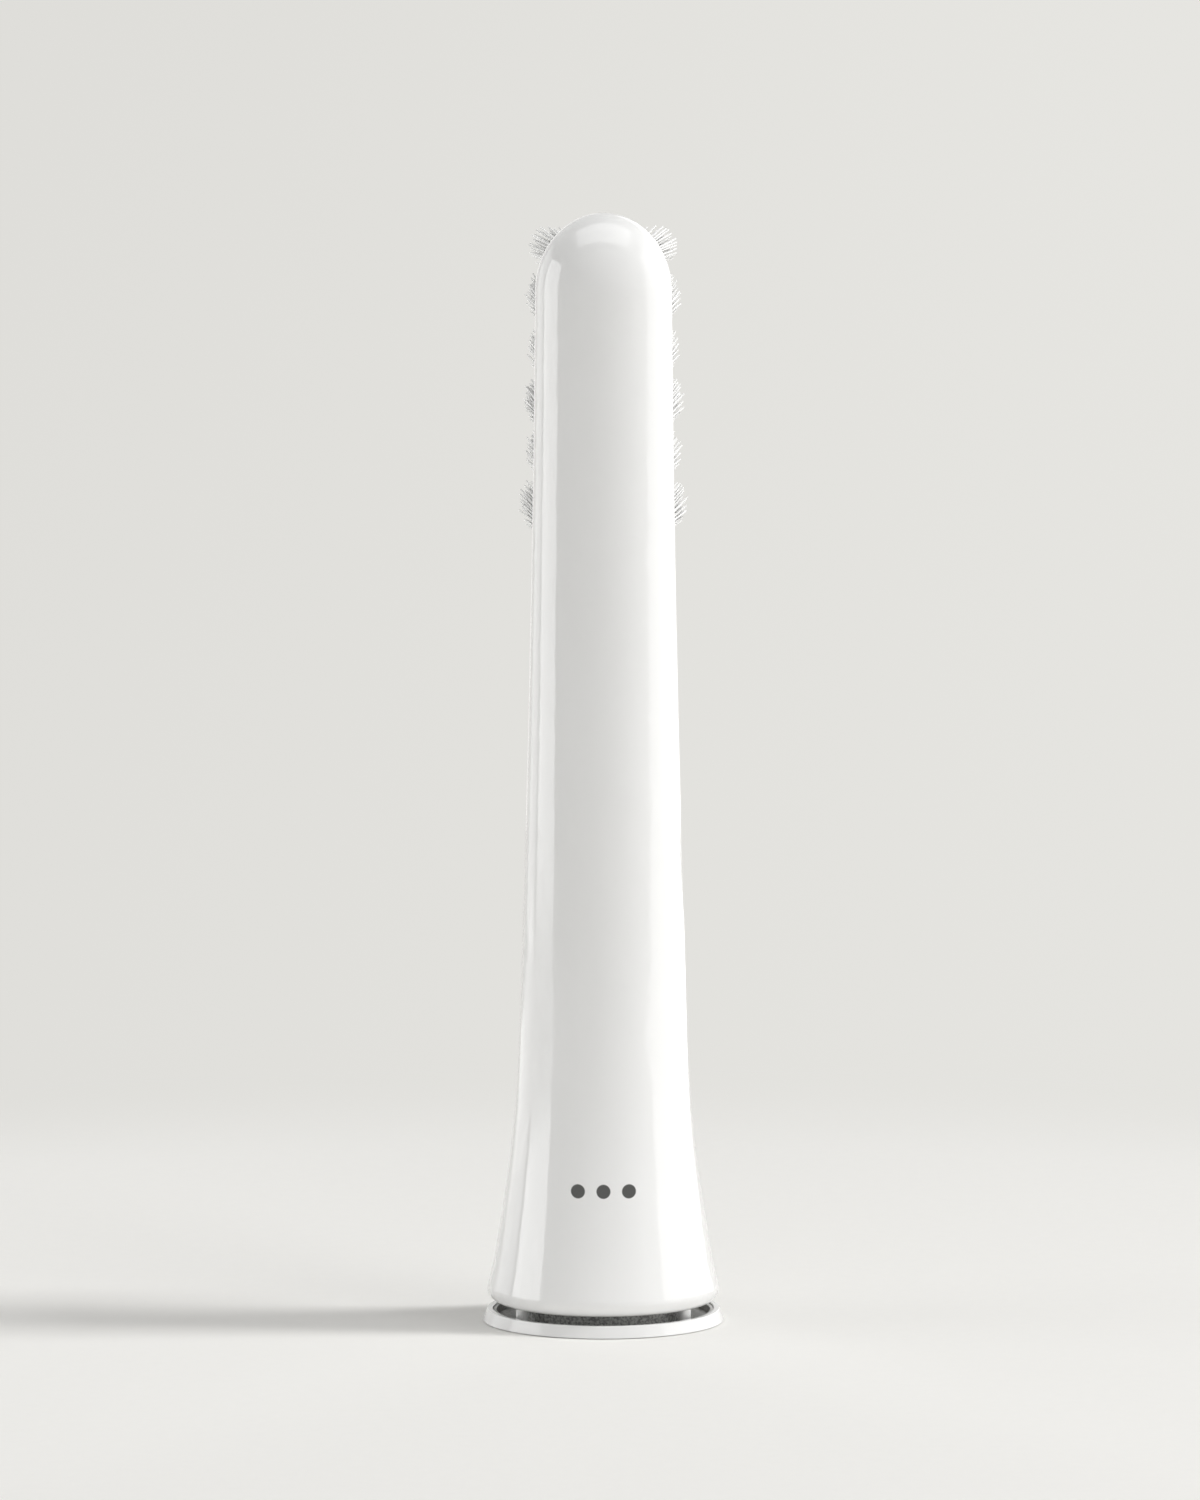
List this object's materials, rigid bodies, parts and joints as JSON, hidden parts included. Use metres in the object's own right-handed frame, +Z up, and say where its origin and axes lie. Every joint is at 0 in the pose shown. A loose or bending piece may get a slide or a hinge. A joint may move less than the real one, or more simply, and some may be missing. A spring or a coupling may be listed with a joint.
{
  "type": "electric toothbrush head",
  "caption": "Push-on sonic toothbrush head: white tapered body with a rounded bristle head, a flared skirt over a dark shaft coupling, and a thin base ring.",
  "frame": {"origin": "centre of the base ring's foot plane, on the drive shaft's axis", "axes": "+Z up the shaft axis towards the brush head, +Y the way the bristles point, the smooth back faces -Y"},
  "size_m": [0.019, 0.019, 0.0877],
  "materials": {
    "white_gloss": "smooth glossy moulding",
    "dark_grey": "fine satin moulding",
    "spring_steel": "bright rolled strip",
    "bristle": "fine nylon filaments"
  },
  "bodies": {
    "root": {"brush_body": "white_gloss", "tuft_plate": "white_gloss", "base_ring": "white_gloss", "coupling": "dark_grey", "shaft_clip": "spring_steel", "tuft_outer_left_1": "bristle", "tuft_outer_left_2": "bristle", "tuft_outer_left_3": "bristle", "tuft_outer_left_4": "bristle", "tuft_outer_left_5": "bristle", "tuft_outer_left_6": "bristle", "tuft_outer_right_1": "bristle", "tuft_outer_right_2": "bristle", "tuft_outer_right_3": "bristle", "tuft_outer_right_4": "bristle", "tuft_outer_right_5": "bristle", "tuft_outer_right_6": "bristle", "tuft_inner_left_1": "bristle", "tuft_inner_left_2": "bristle", "tuft_inner_left_3": "bristle", "tuft_inner_left_4": "bristle", "tuft_inner_left_5": "bristle", "tuft_inner_right_1": "bristle", "tuft_inner_right_2": "bristle", "tuft_inner_right_3": "bristle", "tuft_inner_right_4": "bristle", "tuft_inner_right_5": "bristle", "tuft_tip": "bristle", "tuft_heel": "bristle"}
  },
  "joints": []
}
